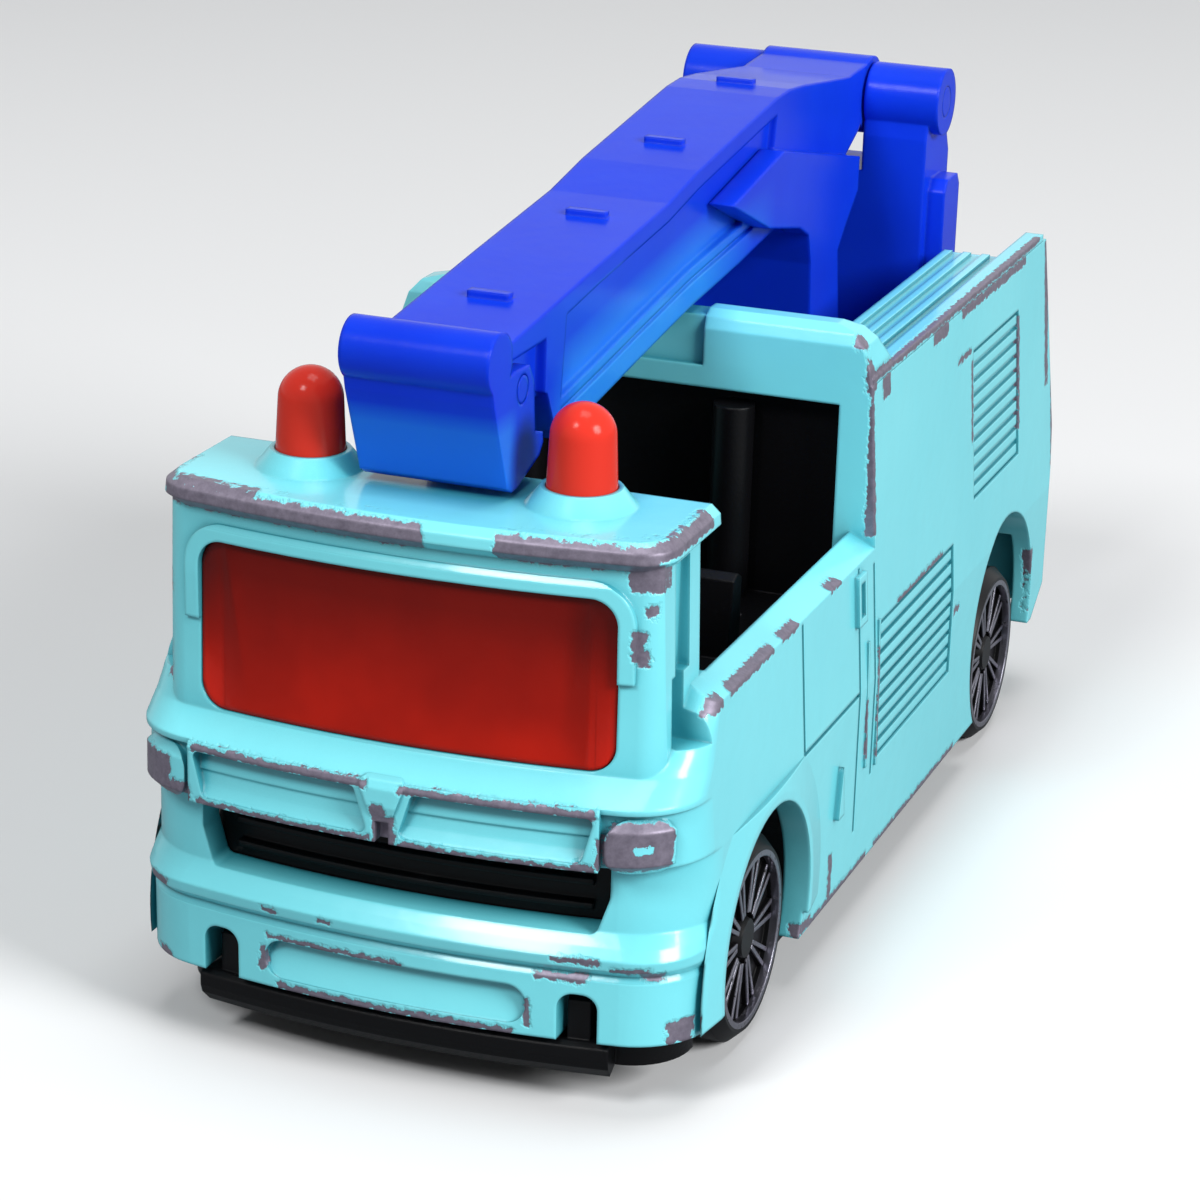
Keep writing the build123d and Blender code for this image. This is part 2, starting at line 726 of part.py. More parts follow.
# ---------------------------------------------------------------- turntable and its rivet
with BuildPart() as turntable:
    with Locations((0, turntable_y, sum(turntable_z) / 2)):
        Cylinder(turntable_radius, turntable_z[1] - turntable_z[0])
    chamfer(turntable.edges().group_by(Axis.Z)[-1], 0.5)
    with Locations((0, turntable_y, turntable_z[0] - 1.5)):
        Cylinder(boss_radius, 3.4)
    lug = side_block(
        [(24.5, turntable_z[1] - 0.2), (28.1, 20.2), (pivot_low[0], pivot_low[1] + 2.3),
         (pivot_low[0] + 2.3, pivot_low[1]), (pivot_low[0] + 1.5, pivot_low[1] - 2.4),
         (pivot_low[0] - 2.2, turntable_z[0] + 0.1), (24.5, turntable_z[0] + 0.1)],
        -boom_half_width, boom_half_width,
    )
    add(lug)
    add(cross_rod(pivot_low[0], pivot_low[1], 2.3, -boom_half_width, boom_half_width))
    add(cross_rod(pivot_low[0], pivot_low[1], pin_radius, -arm_half_width, arm_half_width))
    with Locations((0, turntable_y, turntable_z[0])):
        Cylinder(1.6 + fit_gap, 12, mode=Mode.SUBTRACT)
turntable.part.label = "turntable"
export_step(turntable.part, "parts/turntable.step")

with BuildPart() as turntable_rivet:
    rivet_bottom = turntable_z[0] - 3.2
    with Locations((0, turntable_y, rivet_bottom - 0.5)):
        Cylinder(rivet_head_radius, 0.8)
    with Locations((0, turntable_y, (rivet_bottom + turntable_z[1]) / 2)):
        Cylinder(1.6, turntable_z[1] - rivet_bottom + 0.6)
turntable_rivet.part.label = "turntable_rivet"
export_step(turntable_rivet.part, "parts/turntable_rivet.step")


# ---------------------------------------------------------------- lower arm
def arm_outline():
    """Side outline of the lower arm between its two hinges."""
    y0, y1 = arm_y
    return [(y0, pivot_low[1] + 1.2), (y0, knuckle[1] - 2.4), (y0 + 0.4, knuckle[1]),
            (knuckle[0] + 1.6, knuckle[1] + 1.6), (y1 - 1.2, knuckle[1] - 1.6),
            (y1, knuckle[1] - 4.0), (y1, pivot_low[1] + 1.0), (y1 - 0.9, pivot_low[1] - 1.6),
            (pivot_low[0], pivot_low[1] - 2.6), (y0 + 0.6, pivot_low[1] - 1.0)]


with BuildPart() as lower_arm:
    add(side_block(arm_outline(), -arm_half_width, arm_half_width))
    add(cross_rod(knuckle[0], knuckle[1], knuckle_radius, -9.0, 9.0))
    inner = boom_half_width + side_gap
    add(box((-inner, inner), (20, 40), (arm_web_z[1], 50)), mode=Mode.SUBTRACT)
    add(box((-inner, inner), (20, 40), (10, arm_web_z[0])), mode=Mode.SUBTRACT)
    for x in (-6.5, 0.6):
        add(box((x, x + 5.9), (arm_y[0] + 1.4, arm_y[1] + 1), (arm_web_z[0] + 1.2, arm_web_z[1] - 1.4)),
            mode=Mode.SUBTRACT)
    pad = side_block([(31.3, 24.0), (31.3, 36.6), (31.9, 37.4), (34.3, 37.4), (34.9, 36.6),
                      (34.9, 24.0), (34.3, 23.2), (31.9, 23.2)], arm_half_width - 0.2, 9.5)
    add(both_sides(pad))
    add(cross_rod(knuckle[0], knuckle[1], pin_radius + running_gap, -12, 12), mode=Mode.SUBTRACT)
    add(cross_rod(pivot_low[0], pivot_low[1], pin_radius + running_gap, -12, 12), mode=Mode.SUBTRACT)
lower_arm.part.label = "lower_arm"
export_step(lower_arm.part, "parts/lower_arm.step")


# ---------------------------------------------------------------- upper boom
boom_top = [(-33.1, 40.85), (-19.4, 42.3), (-8.2, 43.4), (-3.0, 44.3), (8.6, 45.7), (11.6, 46.05),
            (14.1, 46.15), (17.1, 45.9), (27.0, 44.7), (31.3, 44.9)]
boom_bottom = [(-24.9, 33.7), (-18.8, 34.4), (-12.4, 35.2), (-3.9, 36.2), (5.3, 36.9), (9.2, 37.3)]
tip_half_width = bucket_half_width - bucket_wall - side_gap
flange = 1.1


def boom_outline():
    """Side outline of the boom from its tip to the knuckle."""
    under = [(29.7, 40.6), (25.9, 39.0), (17.1, 38.0)]
    front = [(-25.5, 34.3), (-26.9, 36.8), (-33.1, 39.9)]
    return boom_top + [(knuckle[0], knuckle[1])] + under + boom_bottom[::-1] + front


def web_recess():
    """The hollow side between the upper and lower flanges."""
    upper = [(y, z - flange) for y, z in boom_top[1:6]]
    lower = [(y, z + 2.4) for y, z in boom_bottom]
    outline = [(-24.3, 40.6)] + upper + [(10.7, 41.0)] + lower[::-1][1:]
    return both_sides(side_block(outline, boom_half_width - 0.45, boom_half_width + 1))


def lower_groove():
    """The fine groove along the lower flange."""
    top = [(y, z + 1.75) for y, z in boom_bottom]
    low = [(y, z + 1.45) for y, z in boom_bottom]
    return both_sides(side_block(top + low[::-1], boom_half_width - 0.2, boom_half_width + 1))


def gusset():
    """Two side plates that carry the leg below the crest, joined by a front web."""
    plate = side_block(
        [(-0.3, 41.7), (9.4, 43.2), (25.9, 39.7), (25.9, 37.4), (23.5, 35.6), (21.9, 34.2),
         (22.8, 29.4), (22.3, 21.0), (21.5, 20.4), (18.3, 20.4), (17.5, 21.0), (16.4, 30.9),
         (16.0, 34.6), (15.3, 36.6), (13.3, 37.5), (7.1, 38.8)],
        3.4, 5.0,
    )
    web = side_block(
        [(15.3, 36.6), (13.3, 38.4), (17.1, 39.0), (16.9, 36.8), (17.6, 31.0), (18.7, 20.4),
         (18.3, 20.4), (17.5, 21.0), (16.4, 30.9), (16.0, 34.6)],
        -4.0, 4.0,
    )
    return both_sides(plate) + web


def rungs():
    """Small raised treads along the top."""
    bars = None
    for y, z in ((-26.3, 41.65), (-11.8, 43.1), (1.1, 44.85), (14.3, 46.2)):
        bar = box((-1.2, 1.2), (y - 0.35, y + 0.35), (z - 0.6, z + 0.28))
        bars = bar if bars is None else bars + bar
    return bars


with BuildPart() as upper_boom:
    add(side_block(boom_outline(), -boom_half_width, boom_half_width))
    add(web_recess(), mode=Mode.SUBTRACT)
    add(lower_groove(), mode=Mode.SUBTRACT)
    add(both_sides(box((tip_half_width, 9), (-40, -27.3), (30, 39.95))), mode=Mode.SUBTRACT)
    tip = side_block(
        [(-33.1, 40.2), (-26.4, 40.6), (-26.4, 36.6), (-29.4, 36.9), (-31.8, 36.95), (-32.9, 37.4),
         (-33.3, 38.4)],
        -tip_half_width, tip_half_width,
    )
    add(tip)
    add(cross_rod(bucket_pivot[0], bucket_pivot[1], bucket_pin_radius,
                  -bucket_half_width, bucket_half_width))
    add(cross_rod(knuckle[0], knuckle[1], tongue_radius, -boom_half_width, boom_half_width))
    add(cross_rod(knuckle[0], knuckle[1], pin_radius, -9.0, 9.0))
    add(gusset())
    add(rungs())
upper_boom.part.label = "upper_boom"
export_step(upper_boom.part, "parts/upper_boom.step")


# ---------------------------------------------------------------- bucket
def bucket_tub():
    """Solid outline of the tub below the bead, before it is hollowed."""
    return [(-36.1, 39.6), (-35.8, 38.4), (-33.8, 33.5), (-33.1, 33.1), (-32.3, 33.15),
            (-29.2, 34.1), (-28.7, 34.7), (-28.8, 35.3), (-29.9, 35.6), (-30.2, 38.4),
            (-30.9, 39.5), (-32.7, 39.6), (-34.5, 39.4)]


with BuildPart() as bucket:
    add(side_block(bucket_tub(), -bucket_half_width, bucket_half_width))
    inner = [(-34.9, 38.6), (-32.9, 34.05), (-32.3, 34.1), (-29.9, 34.85), (-29.65, 37.0),
             (-28.9, 42), (-33.65, 42), (-33.65, 39.4)]
    add(side_block(inner, -bucket_half_width + bucket_wall, bucket_half_width - bucket_wall),
        mode=Mode.SUBTRACT)
    add(cross_rod(bead[0], bead[1], bead_radius, -bucket_half_width, bucket_half_width))
    add(box((-10, 10), (-33.4, -20), (39.65, 45)), mode=Mode.SUBTRACT)
    add(cross_rod(bucket_pivot[0], bucket_pivot[1], bucket_pin_radius + running_gap, -9, 9),
        mode=Mode.SUBTRACT)
bucket.part.label = "bucket"
export_step(bucket.part, "parts/bucket.step")


# ---------------------------------------------------------------- axles and wheels
axle_end = 3.0              # how far an axle reaches into its wheels
bore_depth = 3.1            # the blind bore in each wheel


def make_axle(name, y):
    """A plain steel pin across the vehicle."""
    end_x = wheel_inner_x + axle_end
    axle = cross_rod(y, wheel_radius, axle_radius, -end_x, end_x)
    axle.label = name
    export_step(axle, "parts/" + name + ".step")


def make_wheel(name, y, side):
    """A moulded wheel: tread, bright ring, dished face and paired spokes."""
    ring = (4.75, 5.3)
    dish = 3.1
    face = wheel_width - 0.2
    with BuildPart() as wheel:
        with BuildSketch(Plane.XY):
            with BuildLine():
                Polyline(
                    (0, 0), (0, dish + 0.5), (1.1, dish + 0.5), (1.3, dish), (ring[0], dish),
                    (ring[0], face), (ring[1], face), (wheel_radius, face - 0.7),
                    (wheel_radius, 0), close=True,
                )
            make_face()
        revolve(axis=Axis.Y)
        for i in range(10):
            for lean in (-5.5, 5.5):
                with BuildSketch(Plane.XZ.offset(-dish)):
                    with Locations(Rotation(0, 0, 36.0 * i + lean)):
                        with Locations(((ring[0] + 1.35) / 2, 0)):
                            Rectangle(ring[0] - 1.6, 0.24)
                extrude(amount=-0.4)
        with Locations(Location((0, 0, 0), (90, 0, 0))):
            Cylinder(axle_radius - press, 2 * bore_depth, mode=Mode.SUBTRACT)
    turn = -90 if side > 0 else 90
    placed = wheel.part.moved(Location((side * wheel_inner_x, y, wheel_radius), (0, 0, turn)))
    placed.label = name
    export_step(placed, "parts/" + name + ".step")


make_axle("front_axle", front_axle_y)
make_axle("rear_axle", rear_axle_y)
make_wheel("wheel_front_left", front_axle_y, 1)
make_wheel("wheel_front_right", front_axle_y, -1)
make_wheel("wheel_rear_left", rear_axle_y, 1)
make_wheel("wheel_rear_right", rear_axle_y, -1)
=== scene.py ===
"""A small die-cast toy truck with an open cab and folding boom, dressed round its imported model."""

import math

import bmesh
import bpy
from mathutils import Euler, Matrix, Vector


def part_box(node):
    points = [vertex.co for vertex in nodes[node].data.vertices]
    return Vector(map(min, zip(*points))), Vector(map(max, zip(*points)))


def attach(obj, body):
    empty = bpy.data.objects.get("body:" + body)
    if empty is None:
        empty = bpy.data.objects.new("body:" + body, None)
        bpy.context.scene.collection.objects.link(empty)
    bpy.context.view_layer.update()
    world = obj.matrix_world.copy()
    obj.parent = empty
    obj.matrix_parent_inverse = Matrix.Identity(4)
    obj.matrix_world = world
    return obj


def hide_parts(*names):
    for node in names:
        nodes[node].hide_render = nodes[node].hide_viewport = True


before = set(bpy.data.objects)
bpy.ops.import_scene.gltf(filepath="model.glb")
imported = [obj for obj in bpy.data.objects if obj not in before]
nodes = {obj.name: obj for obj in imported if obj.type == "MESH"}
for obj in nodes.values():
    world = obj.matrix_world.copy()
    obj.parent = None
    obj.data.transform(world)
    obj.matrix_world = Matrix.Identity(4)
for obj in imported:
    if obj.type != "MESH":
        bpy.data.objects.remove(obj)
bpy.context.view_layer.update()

# ---------------------------------------------------------------- camera, table and light
# The camera stands in front of the truck's left corner, a little above the roof, and looks down
# at it with a long lens. The table is a plain pale board and the light comes from large lamps.
CAMERA_PLACE = (0.07185, -0.20352, 0.09122)
CAMERA_TURN = (71.159, 1.901, 19.803)      # degrees: tip from straight down, roll, turn from +Y
LENS_MM = 109.95
LENS_SHIFT = (-0.0180, -0.0200)
CLIP_NEAR, CLIP_FAR = 0.01, 20             # metres
WORLD_TONE = "F4F6F8"
WORLD_FILL = 0.13                 # strength at which the world lights the toy
WORLD_SEEN = 0.9                  # strength at which it is seen, or mirrored by gloss and glass
BOARD_RADIUS = 3.0                # metres
BOARD_SEEN = "E9EAEB"
BOARD_BOUNCE = "8E9296"           # its tone in the light that it throws back onto the toy


def srgb(text):
    """A hex colour as the linear red, green, blue and alpha that the sockets take."""
    values = [int(text[i:i + 2], 16) / 255 for i in (0, 2, 4)]
    return [v / 12.92 if v <= 0.04045 else ((v + 0.055) / 1.055) ** 2.4 for v in values] + [1.0]


def add_node(tree, kind, inputs=None, **settings):
    """One node with its settings; an input is a plain value or another node's output."""
    made = tree.nodes.new("ShaderNode" + kind)
    for name, value in settings.items():
        setattr(made, name, value)
    for name, value in (inputs or {}).items():
        if isinstance(value, bpy.types.NodeSocket):
            tree.links.new(value, made.inputs[name])
        else:
            made.inputs[name].default_value = value
    return made


def new_material(name):
    """An empty material with its output, as (material, tree, output)."""
    material = bpy.data.materials.new(name)
    material.use_nodes = True
    material.node_tree.nodes.clear()
    return material, material.node_tree, add_node(material.node_tree, "OutputMaterial")


camera = bpy.data.objects.new("camera", bpy.data.cameras.new("camera"))
bpy.context.scene.collection.objects.link(camera)
tip, roll, turn = [math.radians(angle) for angle in CAMERA_TURN]
camera.location = CAMERA_PLACE
camera.rotation_euler = (
    Euler((tip, 0, turn)).to_matrix() @ Matrix.Rotation(roll, 3, "Z")
).to_euler()
camera.data.lens = LENS_MM
camera.data.shift_x, camera.data.shift_y = LENS_SHIFT
camera.data.clip_start, camera.data.clip_end = CLIP_NEAR, CLIP_FAR
bpy.context.scene.camera = camera
bpy.context.scene.view_settings.view_transform = "Standard"

lamps = [
    # name, place, aimed at, size, watts
    ("key_lamp", (-0.15, -0.60, 0.62), (0, 0, 0.02), 0.20, 3.4),
    ("side_lamp", (0.75, -0.25, 0.45), (0, 0, 0.02), 0.35, 8.2),
    ("top_lamp", (0.05, 0.0, 0.95), (0, 0, 0.02), 0.40, 2.9),
]
for name, place, target, size, watts in lamps:
    lamp = bpy.data.objects.new(name, bpy.data.lights.new(name, "AREA"))
    lamp.data.shape = "SQUARE"
    lamp.data.size, lamp.data.energy = size, watts
    lamp.location = place
    lamp.rotation_euler = (Vector(target) - Vector(place)).to_track_quat("-Z", "Y").to_euler()
    bpy.context.scene.collection.objects.link(lamp)

world = bpy.data.worlds.new("studio")
bpy.context.scene.world = world
world.use_nodes = True
world.node_tree.nodes.clear()
sky_tree = world.node_tree
ray = add_node(sky_tree, "LightPath")
seen = add_node(sky_tree, "Math", {0: ray.outputs["Is Camera Ray"],
                                   1: ray.outputs["Is Glossy Ray"]}, operation="MAXIMUM")
seen = add_node(sky_tree, "Math", {0: seen.outputs[0],
                                   1: ray.outputs["Is Transmission Ray"]}, operation="MAXIMUM")
strength = add_node(sky_tree, "MapRange", {
    "Value": seen.outputs[0], "To Min": WORLD_FILL, "To Max": WORLD_SEEN})
sky = add_node(sky_tree, "Background", {
    "Color": srgb(WORLD_TONE), "Strength": strength.outputs[0]})
add_node(sky_tree, "OutputWorld", {"Surface": sky.outputs[0]})

bpy.ops.object.select_all(action="DESELECT")
bpy.ops.mesh.primitive_circle_add(vertices=96, radius=BOARD_RADIUS, fill_type="NGON",
                                  location=(0, 0, 0))
table = bpy.context.object
table.name = "table"
board, tree, output = new_material("painted_board")
# seen straight it is pale, and it throws back only part of the light onto the toy's underside
seen_straight = add_node(tree, "LightPath")
board_tone = add_node(tree, "Mix", {
    "Factor": seen_straight.outputs["Is Camera Ray"],
    "A": srgb(BOARD_BOUNCE), "B": srgb(BOARD_SEEN)}, data_type="RGBA")
surface = add_node(tree, "BsdfPrincipled", {
    "Base Color": board_tone.outputs["Result"], "Roughness": 0.7, "Specular IOR Level": 0.2})
tree.links.new(surface.outputs[0], output.inputs["Surface"])
table.data.materials.append(board)

# ---------------------------------------------------------------- body shell
# One zinc die casting: nose, roof strip, sills, lockers and bed. It is dipped in aqua enamel, which
# draws back from sharp edges, so play has worn the corners down to the dull grey-mauve metal.
AQUA = "82E6F0"
AQUA_DEEP = "72DAE6"              # where the enamel lies thick
AQUA_PAINTED_SHADE = "3594A2"            # painted shade: the deep teal that corners and grooves are darkened towards
ZINC_DARK = "4F4958"
ZINC_PALE = "9A92A2"
MM = 1000.0                       # object coordinates are metres; patterns are worked out in mm
ROUNDING = 0.00026                # the enamel rounds every edge by about a quarter of a millimetre
BROW_AHEAD = 40.1                 # mm: the brow stands this far ahead of the truck's middle
BOW = 140.0                       # mm: the brow falls back by x * x / BOW
TEETH = 0.8                       # mm: how far the edge of a chip wanders, in and out together
CHIP_EDGE = (0.10, 0.15)          # mm from a block: where bare metal gives way to enamel
CHIP_STEP = (0.06, 0.30)          # mm from a block: where the enamel rises to its full thickness
KEPT_EDGE = (0.10, 0.16)          # mm: the edge of the enamel kept on a pod
SHADE_REACH = 0.0025               # metres: how near another wall must stand to darken a corner with painted shade
SHADE_OPEN = (0.40, 0.97)          # how open a corner is, from full painted shade to none

# Where the enamel has gone from the bowed front. Each block is its centre and half size in mm: the
# distance from the centre line, the depth behind the bowed brow and the height.
worn_roof_lip = [
    ((-6.3, 1.6, 31.85), (7.7, 1.0, 0.58)), ((9.7, 1.6, 31.85), (4.1, 1.0, 0.60)),
    ((-10.8, 1.9, 32.4), (2.4, 0.4, 0.25)), ((13.2, 2.2, 31.3), (0.75, 1.2, 1.15)),
    ((14.2, 4.8, 32.3), (0.45, 3.4, 0.32)), ((-14.3, 3.4, 32.3), (0.4, 2.2, 0.30)),
]
worn_pillars = [
    ((13.5, 1.6, 29.0), (0.16, 1.0, 0.22)), ((12.95, 1.6, 27.1), (0.16, 1.0, 0.75)),
    ((13.2, 1.6, 26.5), (0.16, 1.0, 0.35)), ((-14.3, 2.0, 26.5), (0.16, 1.0, 0.45)),
    ((-14.5, 2.2, 21.9), (0.22, 1.6, 1.1)),
]
worn_panels = [
    ((-6.3, 0.0, 18.30), (5.3, 0.3, 0.10)), ((6.3, 0.0, 18.30), (5.2, 0.3, 0.10)),
    ((-6.0, 0.2, 15.22), (5.2, 0.5, 0.02)), ((6.2, 0.2, 15.18), (5.2, 0.5, 0.02)),
    ((0.1, 0.3, 15.7), (0.50, 0.9, 0.85)), ((-0.25, 0.0, 16.8), (0.28, 0.5, 0.35)),
    ((11.0, 0.4, 15.3), (0.5, 0.6, 0.12)),
]
worn_pods = [
    ((13.8, 0.2, 16.5), (1.50, 1.1, 1.20)), ((12.3, 0.2, 16.1), (0.5, 0.6, 0.75)),
    ((-14.5, 0.4, 16.2), (1.3, 1.4, 1.10)), ((-12.8, 0.2, 15.5), (0.9, 0.8, 0.40)),
]
kept_on_pod = ((14.0, 0.2, 16.45), (0.30, 0.6, 0.06))
worn_bumper = [
    ((-7.2, 1.0, 9.35), (0.35, 0.4, 0.03)), ((-3.8, 1.0, 9.4), (0.28, 0.4, 0.02)),
    ((10.4, 1.0, 9.5), (1.2, 0.4, 0.03)), ((13.3, 1.2, 9.15), (0.9, 0.5, 0.04)),
    ((14.3, 1.6, 8.75), (0.45, 0.6, 0.12)), ((-14.7, 1.6, 9.2), (0.6, 0.8, 0.30)),
    ((9.5, 1.6, 8.3), (1.3, 0.5, 0.10)),
]
worn_valance = [
    ((-3.5, 1.6, 7.62), (4.0, 0.4, 0.02)), ((0.0, 1.6, 4.75), (6.8, 0.7, 0.06)),
    ((7.7, 1.6, 6.0), (0.08, 0.5, 0.75)), ((-7.8, 1.6, 6.3), (0.08, 0.5, 0.6)),
    ((15.9, 2.0, 5.3), (0.75, 1.4, 0.55)), ((-14.6, 1.6, 4.7), (0.5, 0.6, 0.12)),
]
# The same along the flanks and at the back: distance from the centre line, place along and height.
worn_sills = [
    ((15.9, -26.6, 22.95), (0.45, 3.6, 0.22)), ((15.9, -20.0, 22.95), (0.45, 1.3, 0.16)),
    ((15.8, -33.2, 22.8), (0.5, 1.6, 0.30)), ((-15.9, -20.0, 22.95), (0.45, 7.0, 0.16)),
    ((15.6, -11.5, 22.95), (0.45, 0.9, 0.10)),
]
worn_lockers = [
    ((15.5, -3.75, 28.3), (0.25, 0.14, 4.6)), ((15.2, -3.4, 33.4), (0.30, 0.35, 0.9)),
    ((14.6, -3.3, 35.3), (0.5, 0.5, 0.35)), ((15.25, -0.9, 32.1), (0.30, 0.7, 0.55)),
    ((15.2, 16.0, 33.15), (0.35, 19.8, 0.16)), ((15.3, 24.0, 32.5), (0.3, 8.0, 0.16)),
    ((15.3, 11.0, 32.4), (0.3, 1.6, 0.30)), ((-15.3, 14.0, 33.1), (0.35, 17.0, 0.16)),
    ((15.6, 18.3, 26.2), (0.3, 0.06, 2.6)), ((15.6, 30.2, 25.2), (0.3, 0.05, 3.8)),
    ((15.5, 16.6, 29.6), (0.3, 1.5, 0.05)), ((16.0, 6.0, 18.1), (0.4, 5.0, 0.03)),
    ((16.3, -3.2, 13.0), (0.3, 0.05, 3.4)), ((16.3, -5.5, 12.0), (0.3, 0.05, 1.8)),
]
worn_tail = [
    ((15.3, 37.7, 27.5), (0.5, 0.30, 5.0)), ((15.8, 39.3, 19.5), (0.5, 0.18, 3.2)),
    ((-15.3, 37.7, 28.0), (0.5, 0.30, 4.4)), ((16.3, 34.6, 9.0), (0.4, 0.25, 2.2)),
    ((15.8, 40.0, 12.6), (0.7, 0.4, 1.2)), ((6.0, 39.4, 16.8), (5.5, 0.6, 0.10)),
    ((-11.0, 39.9, 9.0), (2.4, 0.6, 0.25)),
]
worn_skirts = [
    ((16.4, -9.6, 3.3), (0.5, 5.6, 0.10)), ((16.4, -11.6, 4.9), (0.35, 0.22, 1.3)),
    ((16.4, 6.8, 3.3), (0.5, 9.0, 0.08)), ((-16.4, 2.0, 3.3), (0.5, 11.0, 0.10)),
    ((16.3, 14.6, 13.3), (0.3, 0.5, 0.14)), ((16.4, -16.5, 3.6), (0.5, 1.2, 0.20)),
]


def place_in_mm(tree):
    """The place on the object, in mm."""
    metres = add_node(tree, "TexCoord")
    scaled = add_node(tree, "VectorMath", {0: metres.outputs["Object"], 3: MM}, operation="SCALE")
    return scaled.outputs[0]


def block_distance(tree, place, centre, half):
    """Distance in mm from a place to a block with these half sizes."""
    away = add_node(tree, "VectorMath", {0: place, 1: centre}, operation="SUBTRACT")
    away = add_node(tree, "VectorMath", {0: away.outputs[0]}, operation="ABSOLUTE")
    away = add_node(tree, "VectorMath", {0: away.outputs[0], 1: half}, operation="SUBTRACT")
    away = add_node(tree, "VectorMath", {0: away.outputs[0], 1: (0, 0, 0)}, operation="MAXIMUM")
    return add_node(tree, "VectorMath", {0: away.outputs[0]}, operation="LENGTH").outputs["Value"]


def nearest_block(tree, place, blocks):
    """Distance in mm to the nearest of several blocks."""
    nearest = None
    for centre, half in blocks:
        distance = block_distance(tree, place, centre, half)
        if nearest is not None:
            distance = add_node(tree, "Math", {0: nearest, 1: distance},
                                operation="MINIMUM").outputs[0]
        nearest = distance
    return nearest


def dress(names, material):
    """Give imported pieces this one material."""
    for name in names:
        nodes[name].data.materials.clear()
        nodes[name].data.materials.append(material)


enamel, tree, output = new_material("aqua_enamel_over_zinc")
place = place_in_mm(tree)
# the place with the bow of the nose taken out, so its depth counts from the brow
parts = add_node(tree, "SeparateXYZ", {0: place})
bow = add_node(tree, "Math", {0: parts.outputs[0], 1: parts.outputs[0]}, operation="MULTIPLY")
bow = add_node(tree, "Math", {0: bow.outputs[0], 1: -1 / BOW, 2: BROW_AHEAD},
               operation="MULTIPLY_ADD")
depth = add_node(tree, "Math", {0: parts.outputs[1], 1: bow.outputs[0]}, operation="ADD")
nose_place = add_node(tree, "CombineXYZ", {0: parts.outputs[0], 1: depth.outputs[0],
                                           2: parts.outputs[2]})
# the enamel breaks away in teeth about 0.7 mm long with splinters of 0.2 mm
ragged = add_node(tree, "TexNoise", {
    "Vector": place, "Scale": 1.9, "Detail": 4.0, "Roughness": 0.62})
shift = add_node(tree, "VectorMath", {0: ragged.outputs["Color"], 1: (0.5, 0.5, 0.5)},
                 operation="SUBTRACT")
shift = add_node(tree, "VectorMath", {0: shift.outputs[0], 3: TEETH}, operation="SCALE")
nose_ragged = add_node(tree, "VectorMath", {0: nose_place.outputs[0], 1: shift.outputs[0]},
                       operation="ADD")
flank_ragged = add_node(tree, "VectorMath", {0: place, 1: shift.outputs[0]}, operation="ADD")
front_chips = nearest_block(tree, nose_ragged.outputs[0], (
    worn_roof_lip + worn_pillars + worn_panels + worn_pods + worn_bumper + worn_valance))
flank_chips = nearest_block(tree, flank_ragged.outputs[0], (
    worn_sills + worn_lockers + worn_tail + worn_skirts))
chipped = add_node(tree, "Math", {0: front_chips, 1: flank_chips}, operation="MINIMUM")
island = block_distance(tree, nose_ragged.outputs[0], *kept_on_pod)
island = add_node(tree, "MapRange", {
    "Value": island, "From Min": KEPT_EDGE[0], "From Max": KEPT_EDGE[1],
    "To Min": 1.0, "To Max": 0.0})
chipped = add_node(tree, "Math", {0: chipped.outputs[0], 1: island.outputs[0]}, operation="ADD")
bare = add_node(tree, "MapRange", {
    "Value": chipped.outputs[0], "From Min": CHIP_EDGE[0], "From Max": CHIP_EDGE[1],
    "To Min": 1.0, "To Max": 0.0})
rim = add_node(tree, "MapRange", {
    "Value": chipped.outputs[0], "From Min": CHIP_STEP[0], "From Max": CHIP_STEP[1]},
    interpolation_type="SMOOTHSTEP")
tone = add_node(tree, "TexNoise", {"Vector": place, "Scale": 0.09, "Detail": 3.0})
aqua = add_node(tree, "Mix", {"Factor": tone.outputs["Fac"], "A": srgb(AQUA_DEEP),
                              "B": srgb(AQUA)}, data_type="RGBA")
# painted shade: ambient occlusion darkens corners and grooves towards deep teal, as shade falls
# there
corner_occlusion = add_node(tree, "AmbientOcclusion", {"Distance": SHADE_REACH}, samples=8)
painted_shade = add_node(tree, "MapRange", {
    "Value": corner_occlusion.outputs["AO"], "From Min": SHADE_OPEN[0], "From Max": SHADE_OPEN[1],
    "To Min": 1.0, "To Max": 0.0})
aqua = add_node(tree, "Mix", {"Factor": painted_shade.outputs[0], "A": aqua.outputs["Result"],
                              "B": srgb(AQUA_PAINTED_SHADE)}, data_type="RGBA")
metal_grain = add_node(tree, "TexNoise", {
    "Vector": place, "Scale": 2.2, "Detail": 6.0, "Roughness": 0.7})
zinc = add_node(tree, "Mix", {"Factor": metal_grain.outputs["Fac"], "A": srgb(ZINC_DARK),
                              "B": srgb(ZINC_PALE)}, data_type="RGBA")
colour = add_node(tree, "Mix", {"Factor": bare.outputs[0], "A": aqua.outputs["Result"],
                                "B": zinc.outputs["Result"]}, data_type="RGBA")
# from enamel to bare metal the surface grows rougher and more metallic and loses its clear gloss
roughness = add_node(tree, "MapRange", {"Value": bare.outputs[0], "To Min": 0.24, "To Max": 0.42})
metallic = add_node(tree, "MapRange", {"Value": bare.outputs[0], "To Min": 0.0, "To Max": 0.45})
gloss = add_node(tree, "MapRange", {"Value": bare.outputs[0], "To Min": 0.35, "To Max": 0.0})
